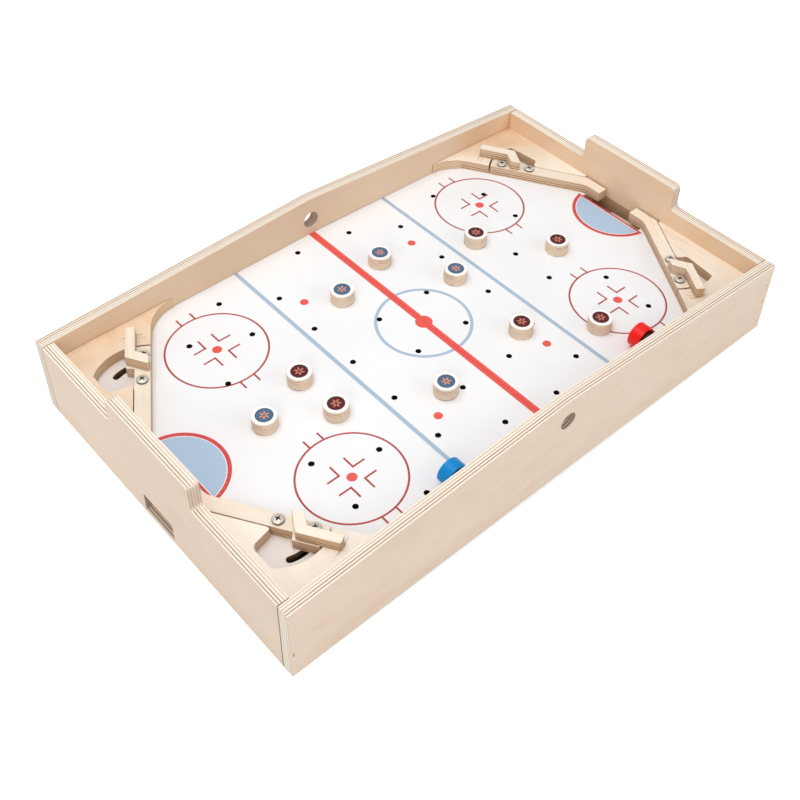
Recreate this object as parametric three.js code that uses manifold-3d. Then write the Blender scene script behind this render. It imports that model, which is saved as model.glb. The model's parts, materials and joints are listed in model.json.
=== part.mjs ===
// Wooden table hockey game: a ply box with a roof-shaped ice board, four flippers and loose players.
// Millimetres, +Z up. X runs along the long side, Y from the front wall to the rear wall.
// The origin is at the bottom of the box, under the middle of the ice.
import * as THREE from 'three';
import { mergeVertices } from 'three/addons/utils/BufferGeometryUtils.js';
import Module from 'manifold-3d';

const wasm = await Module();
wasm.setup();

// Box
const box_length = 640;
const box_width = 396;
const ply = 12.5;
const wall_height_end = 89;
const wall_height_middle = 107;
const foot_arch_rise = 4.5;
const backboard_height = 117.5;
const backboard_width = 130;
const backboard_corner = 6;
const backboard_fillet = 5;

// Ball windows in the end walls and sighting holes in the long walls
const window_width = 47;
const window_bottom = 3;
const window_top = 26;
const side_hole_radius = 9.5;
const side_hole_drop = 28;

// Ice board
const ice_height_middle = 60.5;
const ice_height_end = 55;
const ice_thickness = 6;
const goal_line_distance = 19.5;
const goal_half_width = 42;
const dot_hole_radius = 3.1;

// Frame below the ice
const ridge_beam_width = 24;
const ridge_beam_depth = 18;
const cleat_width = 12;
const cleat_depth = 15;

// Ball return under each goal
const return_cheek = 12;
const return_back = 12;
const return_floor_thickness = 3;
const return_floor_rise = 10;
const sill_width = 12;
const sill_depth = 12;
const sill_end = 6;
const sill_fall = 2;

// Flippers: the pivot is the screw nearer the goal, and the left pair swings further.
// The pivot's share is of the way from the tip's end to the long wall.
const pivot_distance = 45.5;
const pivot_share = 0.516;
const left_swing = THREE.MathUtils.degToRad(52);
const right_swing = THREE.MathUtils.degToRad(28);
const flipper_thickness = 12;
const flipper_half_width = 7.5;
const tail_radius = 45.5;
const ear_reach = 15.5;
const ear_start = 16;
const ear_slant = 2;
const tip_wall_gap = 2.5;
const tip_width = 12.5;
const tip_half_mouth = 23;
const tip_length = 25;
const tip_bend_radius = 22;
const guide_distance = 33;
const guide_offset = -1;

// Arc slots in the ice for the guide screws
const slot_half_width = 3.5;
const slot_margin = THREE.MathUtils.degToRad(3);

// Handles glued on the flippers
const handle_thickness = 12;
const foot_start = 9.5;
const foot_end = 21;
const elbow_inside = 29;
const elbow_outside = 21.5;
const arm_inside = 5.5;
const arm_outside = 15;
const arm_end = 62;
const handle_corner = 1.5;

// Corner plates
const plate_thickness = 12;
const plate_gap = 1;
const tail_gap = 2;
const pocket_clearance = THREE.MathUtils.degToRad(23);
const left_pocket_side = 32.6;
const right_pocket_side = 20;
const pocket_edge_height = 5.6;
const left_pocket_fillet = 7;
const right_pocket_fillet = 4;
const nose_start = -9;
const nose_radius = 4;
const nose_distance = 13;
const wall_sweep_radius = 46;
const wall_sweep_end = 128.5;
const wall_feather = 1;

// Screws, nuts and rails
const screw_head_radius = 5.8;
const screw_head_height = 3;
const screw_shank_radius = 2.2;
const screw_hole_radius = 2.6;
const cross_arm = 2.9;
const cross_half_width = 0.55;
const cross_depth = 1.5;
const rail_width = 26;
const rail_depth = 16;
const rail_overhang = 14;
const nut_radius = 5.5;
const nut_depth = 5;
const screw_run_out = 2;

// Players: places as shares of half the clear length and half the clear width
const peg_radius = 12.5;
const peg_height = 15;
const peg_edge = 0.8;
const peg_recess_radius = 10.4;
const peg_recess_depth = 0.4;
const red_peg_shares = [
  [0.419, 0.317],
  [0.619, -0.036],
  [0.213, -0.398],
  [0.43, -0.652],
  [-0.472, 0.091],
  [-0.469, -0.205],
];
const blue_peg_shares = [
  [0.081, 0.533],
  [0.228, 0.152],
  [-0.137, 0.429],
  [-0.157, -0.459],
  [-0.66, -0.032],
];

// Dot holes in the ice, column by column, as shares of the same halves
const dot_hole_shares = [
  { x: 0.104, y: [0.862, 0.508, 0.170, -0.153, -0.490, -0.838] },
  { x: 0.272, y: [0.712, 0.345, -0.045, -0.390, -0.722] },
  { x: 0.488, y: [0.814, 0.090, -0.184] },
  { x: 0.645, y: [0.630, 0.350, -0.024, -0.393, -0.712] },
  { x: -0.104, y: [0.910, 0.510, 0.174, -0.148, -0.495, -0.808] },
  { x: -0.293, y: [0.668, 0.350, 0.020, -0.315, -0.648] },
  { x: -0.461, y: [0.850, 0.537, 0.100, -0.523, -0.874] },
  { x: -0.645, y: [0.683, 0.325, -0.016, -0.374, -0.711] },
];

// Coloured caps on dowels inside the front wall
const cap_radius = 13;
const cap_length = 13.5;
const cap_wall = 2;
const cap_edge = 1.6;
const red_cap_gap = 14.2;
const blue_cap_gap = 10;
const cap_bottom_gap = 0.5;
const dowel_radius = 8.5;
const red_cap_share = 0.467;
const blue_cap_share = -0.383;

// Fits
const seat = 0.3;
const overrun = 4;

// Worked out from the above
const half_length = box_length / 2;
const half_width = box_width / 2;
const clear_half_length = half_length - ply;
const clear_half_width = half_width - ply;
const ice_fall = ice_height_middle - ice_height_end;
const ice_slope = Math.atan2(ice_fall, clear_half_length);
const ice_run = clear_half_length / Math.cos(ice_slope);
const flipper_top = seat + flipper_thickness;
const plate_top = seat + plate_thickness;
const handle_bottom = flipper_top + seat;
const under_ice = -ice_thickness - seat;
const pivot_offset = tip_half_mouth + pivot_share * (clear_half_width - tip_half_mouth);
const flipper_rise = pivot_offset - tip_half_mouth - tip_length;
const flipper_angle = Math.atan2(flipper_rise, pivot_distance - tip_wall_gap - tip_width / 2);
const ice_height_at = (x) => ice_height_middle - (ice_fall * Math.abs(x)) / clear_half_length;

const birch = { color: 0xe6cfae, roughness: 0.6, metalness: 0 };
const birch_pale = { color: 0xf3dfc2, roughness: 0.6, metalness: 0 };
const white_laminate = { color: 0xf7f6f4, roughness: 0.35, metalness: 0 };
const pine = { color: 0xd9bd92, roughness: 0.7, metalness: 0 };
const nickel = { color: 0xb9b7b0, roughness: 0.3, metalness: 0.9 };
const red_plastic = { color: 0xe5251f, roughness: 0.35, metalness: 0 };
const blue_plastic = { color: 0x0a78bd, roughness: 0.35, metalness: 0 };
const red_player = { color: 0xeadfd0, roughness: 0.55, metalness: 0 };
const blue_player = { color: 0xe3ddd4, roughness: 0.55, metalness: 0 };

const game = new THREE.Group();
const sides = [
  {
    name: 'left', sign: -1, swing: left_swing,
    pocket_side: left_pocket_side, pocket_fillet: left_pocket_fillet,
  },
  {
    name: 'right', sign: 1, swing: right_swing,
    pocket_side: right_pocket_side, pocket_fillet: right_pocket_fillet,
  },
];
const rows = [
  { name: 'front', sign: -1 },
  { name: 'rear', sign: 1 },
];

function addPiece(parent, name, geometry, look) {
  const piece = new THREE.Mesh(geometry, new THREE.MeshStandardMaterial(look));
  piece.name = name;
  parent.add(piece);
  return piece;
}

// Joining and cutting
function toSolid(geometry) {
  const bare = geometry.clone();
  bare.deleteAttribute('normal');
  bare.deleteAttribute('uv');
  const merged = mergeVertices(bare, 1e-4);
  const mesh = new wasm.Mesh({
    numProp: 3,
    vertProperties: new Float32Array(merged.attributes.position.array),
    triVerts: new Uint32Array(merged.index.array),
  });
  return new wasm.Manifold(mesh);
}

function toGeometry(solid) {
  const mesh = solid.getMesh();
  const geometry = new THREE.BufferGeometry();
  geometry.setAttribute('position', new THREE.BufferAttribute(new Float32Array(mesh.vertProperties), 3));
  geometry.setIndex(new THREE.BufferAttribute(new Uint32Array(mesh.triVerts), 1));
  geometry.computeVertexNormals();
  return geometry;
}

function cut(geometry, cutters) {
  let solid = toSolid(geometry);
  for (const cutter of cutters) solid = solid.subtract(toSolid(cutter));
  return toGeometry(solid);
}

// Outlines, always anticlockwise, also where a corner is mirrored
function outline(points) {
  const corners = points.map(([x, y]) => new THREE.Vector2(x, y));
  return new THREE.Shape(THREE.ShapeUtils.isClockWise(corners) ? corners.reverse() : corners);
}

function arcPoints(centre, radius, start, end, steps) {
  const points = [];
  for (let i = 0; i <= steps; i += 1) {
    const angle = start + ((end - start) * i) / steps;
    points.push([centre[0] + radius * Math.cos(angle), centre[1] + radius * Math.sin(angle)]);
  }
  return points;
}

// Rounds the corner at b between a and c
function roundCorner(a, b, c, radius, steps) {
  const from = new THREE.Vector2(a[0] - b[0], a[1] - b[1]).normalize();
  const to = new THREE.Vector2(c[0] - b[0], c[1] - b[1]).normalize();
  const half = from.angleTo(to) / 2;
  const reach = radius / Math.tan(half);
  const middle = from.clone().add(to).normalize();
  const centre = [b[0] + (middle.x * radius) / Math.sin(half), b[1] + (middle.y * radius) / Math.sin(half)];
  const first = Math.atan2(b[1] + from.y * reach - centre[1], b[0] + from.x * reach - centre[0]);
  const last = Math.atan2(b[1] + to.y * reach - centre[1], b[0] + to.x * reach - centre[0]);
  const turn = THREE.MathUtils.euclideanModulo(last - first + Math.PI, 2 * Math.PI) - Math.PI;
  return arcPoints(centre, radius, first, first + turn, steps);
}

function extrude(shape, depth) {
  return new THREE.ExtrudeGeometry(shape, { depth, bevelEnabled: false, curveSegments: 12 });
}

// A profile drawn in X and Z and extruded towards +Y from y_start
function extrudeAlongY(shape, y_start, depth) {
  const geometry = extrude(shape, depth);
  geometry.rotateX(Math.PI / 2);
  geometry.translate(0, y_start + depth, 0);
  return geometry;
}

// A profile drawn in Y and Z and extruded towards +X from x_start
function extrudeAlongX(shape, x_start, depth) {
  const geometry = extrude(shape, depth);
  geometry.rotateX(Math.PI / 2);
  geometry.rotateZ(Math.PI / 2);
  geometry.translate(x_start, 0, 0);
  return geometry;
}

function boxAt(low, high) {
  const size = high.map((value, i) => value - low[i]);
  const geometry = new THREE.BoxGeometry(...size);
  geometry.translate(...low.map((value, i) => value + size[i] / 2));
  return geometry;
}

function cylinderAlongY(radius, x, z, y_start, y_end, segments) {
  const geometry = new THREE.CylinderGeometry(radius, radius, y_end - y_start, segments);
  geometry.translate(x, (y_start + y_end) / 2, z);
  return geometry;
}

function cylinderAlongZ(radius, x, y, z_start, z_end, segments) {
  const geometry = new THREE.CylinderGeometry(radius, radius, z_end - z_start, segments);
  geometry.rotateX(Math.PI / 2);
  geometry.translate(x, y, (z_start + z_end) / 2);
  return geometry;
}

function makeLongWall(row) {
  const profile = outline([
    [-half_length, 0],
    [0, foot_arch_rise],
    [half_length, 0],
    [half_length, wall_height_end],
    [0, wall_height_middle],
    [-half_length, wall_height_end],
  ]);
  const hole = new THREE.Path();
  hole.absarc(0, wall_height_middle - side_hole_drop, side_hole_radius, 0, 2 * Math.PI, true);
  profile.holes.push(hole);
  const y_start = row.sign > 0 ? half_width - ply : -half_width;
  addPiece(game, `${row.name}_side_wall`, extrudeAlongY(profile, y_start, ply), birch);
}

function makeEndWall(side) {
  const reach = backboard_width / 2;
  const low = [reach, wall_height_end];
  const top = [reach, backboard_height];
  const rail = [clear_half_width, wall_height_end];
  const rounded = [
    ...roundCorner(rail, low, top, backboard_fillet, 4),
    ...roundCorner(low, top, [0, backboard_height], backboard_corner, 4),
  ];
  const mirrored = rounded.map(([y, z]) => [-y, z]).reverse();
  const profile = outline([
    [-clear_half_width, 0],
    [clear_half_width, 0],
    rail,
    ...rounded,
    ...mirrored,
    [-clear_half_width, wall_height_end],
  ]);
  const half_window = window_width / 2;
  profile.holes.push(new THREE.Path([
    new THREE.Vector2(-half_window, window_bottom),
    new THREE.Vector2(-half_window, window_top),
    new THREE.Vector2(half_window, window_top),
    new THREE.Vector2(half_window, window_bottom),
  ]));
  const x_start = side.sign > 0 ? clear_half_length : -half_length;
  addPiece(game, `${side.name}_end_wall`, extrudeAlongX(profile, x_start, ply), birch);
}

// Frame under the ice, in the box's own upright frame
function roofProfile(x_from, x_to, depth) {
  const top = (x) => ice_height_at(x) - ice_thickness / Math.cos(ice_slope) - seat;
  const xs = x_from < 0 && x_to > 0 ? [x_from, 0, x_to] : [x_from, x_to];
  const upper = xs.map((x) => [x, top(x)]);
  const lower = [...xs].reverse().map((x) => [x, top(x) - depth]);
  return outline([...upper, ...lower]);
}

function makeFrame() {
  const half_beam = ridge_beam_width / 2;
  const beam_reach = clear_half_width - cleat_width;
  const beam_profile = roofProfile(-half_beam, half_beam, ridge_beam_depth);
  const beam = extrudeAlongY(beam_profile, -beam_reach, 2 * beam_reach);
  addPiece(game, 'ridge_beam', beam, pine);
  for (const row of rows) {
    const y_start = row.sign > 0 ? clear_half_width - cleat_width : -clear_half_width;
    const profile = roofProfile(-clear_half_length, clear_half_length, cleat_depth);
    addPiece(game, `${row.name}_cleat`, extrudeAlongY(profile, y_start, cleat_width), pine);
  }
}

// Ball return: two cheeks, a back and a sloped floor that leads out of the window. The sill is a
// strip below the goal line that falls towards its free end, where the ball drops past it.
function makeBallReturn(side) {
  const wall = side.sign * clear_half_length;
  const back_face = side.sign * (clear_half_length - goal_line_distance - seat);
  const back_far = back_face - side.sign * return_back;
  const under = (x) => ice_height_at(x) - ice_thickness / Math.cos(ice_slope) - seat;
  const cheek_profile = outline([
    [wall, 0],
    [back_face, 0],
    [back_face, under(back_face)],
    [wall, under(wall)],
  ]);
  for (const row of rows) {
    const y_start = row.sign > 0 ? goal_half_width : -goal_half_width - return_cheek;
    const cheek = extrudeAlongY(cheek_profile, y_start, return_cheek);
    addPiece(game, `${side.name}_${row.name}_return_cheek`, cheek, birch);
  }
  const back_profile = outline([
    [back_face, 0],
    [back_far, 0],
    [back_far, under(back_far)],
    [back_face, under(back_face)],
  ]);
  const back_reach = goal_half_width + return_cheek;
  addPiece(game, `${side.name}_return_back`, extrudeAlongY(back_profile, -back_reach, 2 * back_reach), birch);
  const floor_profile = outline([
    [wall, 0],
    [back_face, 0],
    [back_face, return_floor_thickness + return_floor_rise],
    [wall, return_floor_thickness],
  ]);
  const floor = extrudeAlongY(floor_profile, -goal_half_width, 2 * goal_half_width);
  addPiece(game, `${side.name}_return_floor`, floor, birch);
  const sill_far = back_face + side.sign * sill_width;
  const sill_top = under(sill_far);
  const sill_start = side.sign * -goal_half_width;
  const sill_finish = side.sign * sill_end;
  const sill_profile = outline([
    [sill_start, sill_top - sill_depth],
    [sill_finish, sill_top - sill_depth],
    [sill_finish, sill_top - sill_fall],
    [sill_start, sill_top],
  ]);
  const sill = extrudeAlongX(sill_profile, Math.min(back_face, sill_far), sill_width);
  addPiece(game, `${side.name}_goal_sill`, sill, birch);
}

// Everything on one half of the ice is drawn in that half's sloped frame. Corner outlines are
// drawn as (distance from the end wall, distance from the centre line).
function cornerToHalf(side, row, [distance, offset]) {
  return [side.sign * (ice_run - distance), row.sign * offset];
}

const pivot = [pivot_distance, pivot_offset];
const along = [Math.cos(flipper_angle), Math.sin(flipper_angle)];
const across = [-along[1], along[0]];

// A point given along the flipper from its pivot towards the tail, and across it towards the corner
function onFlipper([s, w]) {
  return [pivot[0] + along[0] * s + across[0] * w, pivot[1] + along[1] * s + across[1] * w];
}

function cornerShape(side, row, points) {
  return outline(points.map((point) => cornerToHalf(side, row, point)));
}

// Where the flipper's edge at w meets a line of constant distance from the end wall
function alongAtDistance(distance, w) {
  return (distance - pivot[0] - across[0] * w) / along[0];
}

function tailAngle(w, radius) {
  return flipper_angle + Math.asin(w / radius);
}

function makeIce(side, half) {
  const edge = ice_run - seat;
  const mouth = ice_run - goal_line_distance;
  const ridge = seat / 2;
  const width = clear_half_width - seat;
  const at = side.sign;
  const sheet = outline([
    [at * ridge, -width],
    [at * edge, -width],
    [at * edge, -goal_half_width],
    [at * mouth, -goal_half_width],
    [at * mouth, goal_half_width],
    [at * edge, goal_half_width],
    [at * edge, width],
    [at * ridge, width],
  ]);
  for (const column of dot_hole_shares.filter(({ x }) => x * at > 0)) {
    for (const share of column.y) {
      const hole = arcPoints(
        [column.x * clear_half_length, share * clear_half_width], dot_hole_radius, 0, 2 * Math.PI, 10,
      );
      sheet.holes.push(outline(hole.slice(1)));
    }
  }
  for (const row of rows) {
    sheet.holes.push(screwHole(side, row, pivot));
    sheet.holes.push(cornerShape(side, row, slotOutline(side.swing)));
  }
  const board = extrude(sheet, ice_thickness);
  board.translate(0, 0, -ice_thickness);
  addPiece(half, `${side.name}_ice_board`, board, white_laminate);
}

function screwHole(side, row, centre) {
  const round = arcPoints(centre, screw_hole_radius, 0, 2 * Math.PI, 12);
  return cornerShape(side, row, round.slice(1));
}

function guidePolar() {
  return {
    radius: Math.hypot(guide_distance, guide_offset),
    angle: flipper_angle + Math.atan2(guide_offset, guide_distance),
  };
}

function slotOutline(swing) {
  const { radius, angle } = guidePolar();
  const start = angle - slot_margin;
  const end = angle + swing + slot_margin;
  const cap = (at, from) => {
    const centre = [pivot[0] + radius * Math.cos(at), pivot[1] + radius * Math.sin(at)];
    return arcPoints(centre, slot_half_width, from, from + Math.PI, 6);
  };
  return [
    ...arcPoints(pivot, radius + slot_half_width, start, end, 12),
    ...cap(end, end).slice(1, -1),
    ...arcPoints(pivot, radius - slot_half_width, end, start, 12),
    ...cap(start, start + Math.PI).slice(1, -1),
  ];
}

function flipperOutline() {
  const wall_kink = onFlipper([alongAtDistance(tip_wall_gap, flipper_half_width), flipper_half_width]);
  const field_edge = tip_wall_gap + tip_width;
  const field_kink = onFlipper([alongAtDistance(field_edge, -flipper_half_width), -flipper_half_width]);
  const tail_start = tailAngle(-flipper_half_width, tail_radius);
  const tail_end = tailAngle(ear_reach, tail_radius);
  const tail = arcPoints(pivot, tail_radius, tail_start, tail_end, 8);
  return [
    [field_edge, tip_half_mouth],
    ...roundCorner([field_edge, tip_half_mouth], field_kink, tail[0], tip_bend_radius, 6),
    ...tail,
    onFlipper([ear_start + ear_slant, ear_reach]),
    onFlipper([ear_start, flipper_half_width]),
    wall_kink,
    [tip_wall_gap, tip_half_mouth],
  ];
}

const guide_place = [guide_distance, guide_offset];

function makeFlipper(side, row, half) {
  const name = `${side.name}_${row.name}`;
  const shape = cornerShape(side, row, flipperOutline());
  for (const centre of [pivot, onFlipper(guide_place)]) {
    shape.holes.push(screwHole(side, row, centre));
  }
  const bar = extrude(shape, flipper_thickness);
  bar.translate(0, 0, seat);
  addPiece(half, `${name}_flipper`, bar, birch_pale);

  const corners = [
    [foot_start, -flipper_half_width],
    [foot_end, -flipper_half_width],
    [elbow_inside, arm_inside],
    [arm_end, arm_inside],
    [arm_end, arm_outside],
    [elbow_outside, arm_outside],
  ].map(onFlipper);
  const rounded = corners.flatMap((corner, i) => {
    const before = corners[(i + corners.length - 1) % corners.length];
    const after = corners[(i + 1) % corners.length];
    return roundCorner(before, corner, after, handle_corner, 2);
  });
  const handle = extrude(cornerShape(side, row, rounded), handle_thickness);
  handle.translate(0, 0, handle_bottom);
  addPiece(half, `${name}_handle`, handle, birch_pale);
}

// Pan head with a cross recess; the shank runs down to z = bottom
function screwGeometry(bottom) {
  const under_head = flipper_top + seat;
  const crown = screw_head_height / 2;
  const profile = [
    [0, bottom],
    [screw_shank_radius, bottom],
    [screw_shank_radius, under_head],
    [screw_head_radius, under_head],
    [screw_head_radius, under_head + crown],
  ];
  const dome_steps = 3;
  for (let i = 1; i < dome_steps; i += 1) {
    const angle = (i / dome_steps) * (Math.PI / 2);
    profile.push([screw_head_radius * Math.cos(angle), under_head + crown + crown * Math.sin(angle)]);
  }
  profile.push([0, under_head + screw_head_height]);
  const body = new THREE.LatheGeometry(profile.map(([r, z]) => new THREE.Vector2(r, z)), 16);
  body.rotateX(Math.PI / 2);
  const floor = under_head + screw_head_height - cross_depth;
  const lid = under_head + screw_head_height + overrun;
  return cut(body, [
    boxAt([-cross_arm, -cross_half_width, floor], [cross_arm, cross_half_width, lid]),
    boxAt([-cross_half_width, -cross_arm, floor], [cross_half_width, cross_arm, lid]),
  ]);
}

function makeScrews(side, row, half) {
  const name = `${side.name}_${row.name}`;
  const place = (geometry, point) => {
    const [x, y] = cornerToHalf(side, row, point);
    geometry.translate(x, y, 0);
    return geometry;
  };
  const pivot_screw = screwGeometry(under_ice - rail_depth + screw_run_out);
  addPiece(half, `${name}_pivot_screw`, place(pivot_screw, pivot), nickel);

  const guide_screw = screwGeometry(under_ice - nut_depth - screw_run_out);
  addPiece(half, `${name}_guide_screw`, place(guide_screw, onFlipper(guide_place)), nickel);

  const nut = cut(
    cylinderAlongZ(nut_radius, 0, 0, under_ice - nut_depth, under_ice, 6),
    [cylinderAlongZ(screw_hole_radius, 0, 0, under_ice - nut_depth - overrun, under_ice + overrun, 12)],
  );
  addPiece(half, `${name}_guide_nut`, place(nut, onFlipper(guide_place)), nickel);
}

// One rail under the ice carries both pivot screws of a goal
function makePivotRail(side, half) {
  const reach = pivot_offset + rail_overhang;
  const middle = side.sign * (ice_run - pivot_distance);
  const bottom = under_ice - rail_depth;
  const holes = rows.map((row) => {
    const [x, y] = cornerToHalf(side, row, pivot);
    return cylinderAlongZ(screw_hole_radius, x, y, bottom - overrun, under_ice + overrun, 12);
  });
  const bar = boxAt([middle - rail_width / 2, -reach, bottom], [middle + rail_width / 2, reach, under_ice]);
  addPiece(half, `${side.name}_pivot_rail`, cut(bar, holes), pine);
}

function plateOutline({ swing, pocket_side, pocket_fillet }) {
  const edge = flipper_half_width + plate_gap;
  const pocket_radius = tail_radius + tail_gap;
  const pocket_end_angle = flipper_angle + swing + pocket_clearance;
  const tip = onFlipper([alongAtDistance(tip_wall_gap + plate_gap, edge), edge]);
  const nose_edge = onFlipper([nose_start, edge]);
  const relative = ([x, y]) => [pivot[0] + x, pivot[1] + y];
  const nose_corner = onFlipper([nose_start + nose_radius, edge]);
  const nose_side = relative([-nose_distance, pocket_edge_height]);
  const pocket_corner = relative([-pocket_side, pocket_edge_height]);
  const pocket_arc_end = [
    pivot[0] + pocket_radius * Math.cos(pocket_end_angle),
    pivot[1] + pocket_radius * Math.sin(pocket_end_angle),
  ];
  const arc_start = tailAngle(-flipper_half_width, pocket_radius);
  const pocket_arc = arcPoints(pivot, pocket_radius, pocket_end_angle, arc_start, 24);
  const sweep_centre = [wall_sweep_end, clear_half_width - seat - wall_feather - wall_sweep_radius];
  const sweep_start = flipper_angle + Math.PI / 2;
  const sweep = arcPoints(sweep_centre, wall_sweep_radius, sweep_start, Math.PI / 2, 10);
  return [
    [seat, tip[1]],
    tip,
    nose_edge,
    ...roundCorner(nose_edge, nose_corner, nose_side, nose_radius, 4),
    ...roundCorner(nose_side, pocket_corner, pocket_arc_end, pocket_fillet, 4),
    ...pocket_arc,
    ...sweep,
    [wall_sweep_end, clear_half_width - seat],
    [seat, clear_half_width - seat],
  ];
}

function makePlate(side, row, half) {
  const plate = extrude(cornerShape(side, row, plateOutline(side)), plate_thickness);
  plate.translate(0, 0, seat);
  addPiece(half, `${side.name}_${row.name}_corner_plate`, plate, birch_pale);
}

// Player: a turned disc with a shallow recess for its printed round
function pegGeometry() {
  const base = seat;
  const top = seat + peg_height;
  const profile = [
    [0, base],
    [peg_radius - peg_edge, base],
    [peg_radius, base + peg_edge],
    [peg_radius, top - peg_edge],
    [peg_radius - peg_edge, top],
    [peg_recess_radius, top],
    [peg_recess_radius, top - peg_recess_depth],
    [0, top - peg_recess_depth],
  ];
  const body = new THREE.LatheGeometry(profile.map(([r, z]) => new THREE.Vector2(r, z)), 28);
  body.rotateX(Math.PI / 2);
  return body;
}

function makePegs(half, side, team, shares, look) {
  shares.forEach(([x_share, y_share], i) => {
    if (x_share * side.sign <= 0) return;
    const peg = pegGeometry();
    peg.translate(x_share * clear_half_length, y_share * clear_half_width, 0);
    addPiece(half, `${team}_player_${i + 1}`, peg, look);
  });
}

// Hollow cap, closed towards the field and open towards the front wall, on a dowel
function makeCap(team, x_share, gap, look) {
  const x = x_share * clear_half_length;
  const height = ice_height_at(x) + cap_radius + cap_bottom_gap;
  const rim = -clear_half_width + gap;
  const face = rim + cap_length;
  const inner = cap_radius - cap_wall;
  const profile = [
    [0, face],
    [0, face - cap_wall],
    [inner, face - cap_wall],
    [inner, rim],
    [cap_radius, rim],
    [cap_radius, face - cap_edge],
    [cap_radius - cap_edge / 2, face - cap_edge / 4],
    [cap_radius - cap_edge, face],
    [0, face],
  ];
  const cap = new THREE.LatheGeometry(profile.map(([r, y]) => new THREE.Vector2(r, y)), 32);
  cap.translate(x, 0, height);
  addPiece(game, `${team}_cap`, cap, look);
  const dowel = cylinderAlongY(dowel_radius, x, height, -clear_half_width, face - cap_wall - seat, 20);
  addPiece(game, `${team}_cap_dowel`, dowel, pine);
}

rows.forEach(makeLongWall);
sides.forEach(makeEndWall);
makeFrame();
sides.forEach(makeBallReturn);
for (const side of sides) {
  const half = new THREE.Group();
  half.position.set(0, 0, ice_height_middle);
  half.rotation.y = side.sign * ice_slope;
  game.add(half);
  makeIce(side, half);
  makePivotRail(side, half);
  for (const row of rows) {
    makePlate(side, row, half);
    makeFlipper(side, row, half);
    makeScrews(side, row, half);
  }
  makePegs(half, side, 'red', red_peg_shares, red_player);
  makePegs(half, side, 'blue', blue_peg_shares, blue_player);
}
makeCap('red', red_cap_share, red_cap_gap, red_plastic);
makeCap('blue', blue_cap_share, blue_cap_gap, blue_plastic);

export default game;
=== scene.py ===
import json
import math

import bpy
from mathutils import Matrix, Vector


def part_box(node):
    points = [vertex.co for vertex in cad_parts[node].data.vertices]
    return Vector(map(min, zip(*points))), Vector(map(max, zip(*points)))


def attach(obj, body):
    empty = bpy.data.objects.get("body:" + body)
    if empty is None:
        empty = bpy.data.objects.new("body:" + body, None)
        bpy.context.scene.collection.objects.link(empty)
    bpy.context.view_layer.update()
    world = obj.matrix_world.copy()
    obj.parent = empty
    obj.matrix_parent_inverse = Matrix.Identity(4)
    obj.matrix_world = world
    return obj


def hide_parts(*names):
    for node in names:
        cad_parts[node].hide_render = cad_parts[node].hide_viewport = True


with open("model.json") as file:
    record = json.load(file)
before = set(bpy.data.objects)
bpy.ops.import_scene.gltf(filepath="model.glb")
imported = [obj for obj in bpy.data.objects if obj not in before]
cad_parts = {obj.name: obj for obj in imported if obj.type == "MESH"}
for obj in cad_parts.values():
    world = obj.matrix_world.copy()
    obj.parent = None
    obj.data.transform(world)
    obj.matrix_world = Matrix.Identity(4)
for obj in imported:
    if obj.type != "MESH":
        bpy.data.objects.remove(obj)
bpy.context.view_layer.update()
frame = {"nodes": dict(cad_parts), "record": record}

MM = 0.001

# Sizes of the box and the ice, as the frame has them
HALF_LENGTH = 320 * MM
HALF_WIDTH = 198 * MM
PLY = 12.5 * MM
CLEAR_HALF_LENGTH = HALF_LENGTH - PLY
CLEAR_HALF_WIDTH = HALF_WIDTH - PLY
ICE_MIDDLE = 60.5 * MM
ICE_END = 55 * MM
ICE_BOARD = 6 * MM
SLOPE = math.atan2(ICE_MIDDLE - ICE_END, CLEAR_HALF_LENGTH)
SEAT = 0.3 * MM
PIVOT_FROM_END = 45.5 * MM
PIVOT_FROM_MIDDLE = 106.85 * MM
FLIPPER_ANGLE = math.radians(58)
PLATE_PLY = 12 * MM
HANDLE_BOTTOM = SEAT + PLATE_PLY + SEAT
GOAL_HALF_WIDTH = 42 * MM
RETURN_BACK_FROM_END = 19.8 * MM
SILL_FROM_END = 7.8 * MM
RETURN_FLOOR_DEPTH = 14 * MM
PLIES = 9

# The same places in millimetres, as the materials use them
OUTER_X = HALF_LENGTH / MM
OUTER_Y = HALF_WIDTH / MM
INNER_X = CLEAR_HALF_LENGTH / MM
INNER_Y = CLEAR_HALF_WIDTH / MM
PIVOT_U = PIVOT_FROM_END / MM
PIVOT_V = PIVOT_FROM_MIDDLE / MM
GOAL_SIDE = GOAL_HALF_WIDTH / MM

SIDES = {"left": -1, "right": 1}
ROWS = {"front": -1, "rear": 1}
CORNERS = [(f"{side}_{row}", SIDES[side], ROWS[row]) for side in SIDES for row in ROWS]

body_of = {
    node: body
    for body, nodes in frame["record"]["behaviour"]["bodies"].items()
    for node in nodes
}


# Colours as seen on the finished object; some of them are painted shade or painted light, as the comments
# where they are used say
def colour(red, green, blue):
    """A display colour, 0 to 255, as the linear colour that Blender works in."""
    def linear(value):
        share = value / 255
        return share / 12.92 if share <= 0.04045 else ((share + 0.055) / 1.055) ** 2.4
    return (linear(red), linear(green), linear(blue), 1)


BIRCH_LIGHT = colour(240, 223, 206)
BIRCH_MID = colour(232, 211, 190)
BIRCH_DEEP = colour(219, 194, 170)
PALE_LIGHT = colour(250, 241, 228)
PALE_MID = colour(245, 230, 211)
PALE_DEEP = colour(233, 209, 181)
PALE_FAIR = colour(255, 248, 236)
WARM_BIRCH = colour(225, 180, 127)
EDGE_LIGHT = colour(247, 236, 221)
EDGE_DARK = colour(180, 149, 122)
EDGE_GLUE = colour(150, 116, 90)
BROWN_LIGHT = colour(221, 194, 164)
BROWN_DARK = colour(138, 98, 68)
JOINT_DARK = colour(58, 38, 26)
BLOTCH_TAN = colour(222, 190, 166)
HOLE_SHADE_BROWN = colour(122, 76, 32)
NICK_BROWN = colour(150, 100, 66)
BELOW_ICE_SHADE_BROWN = colour(124, 78, 38)
STEP_SHADE_BROWN = colour(158, 120, 88)
WINDOW_SHADE_BROWN = colour(124, 76, 40)
RUB_BROWN = colour(88, 60, 42)
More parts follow.
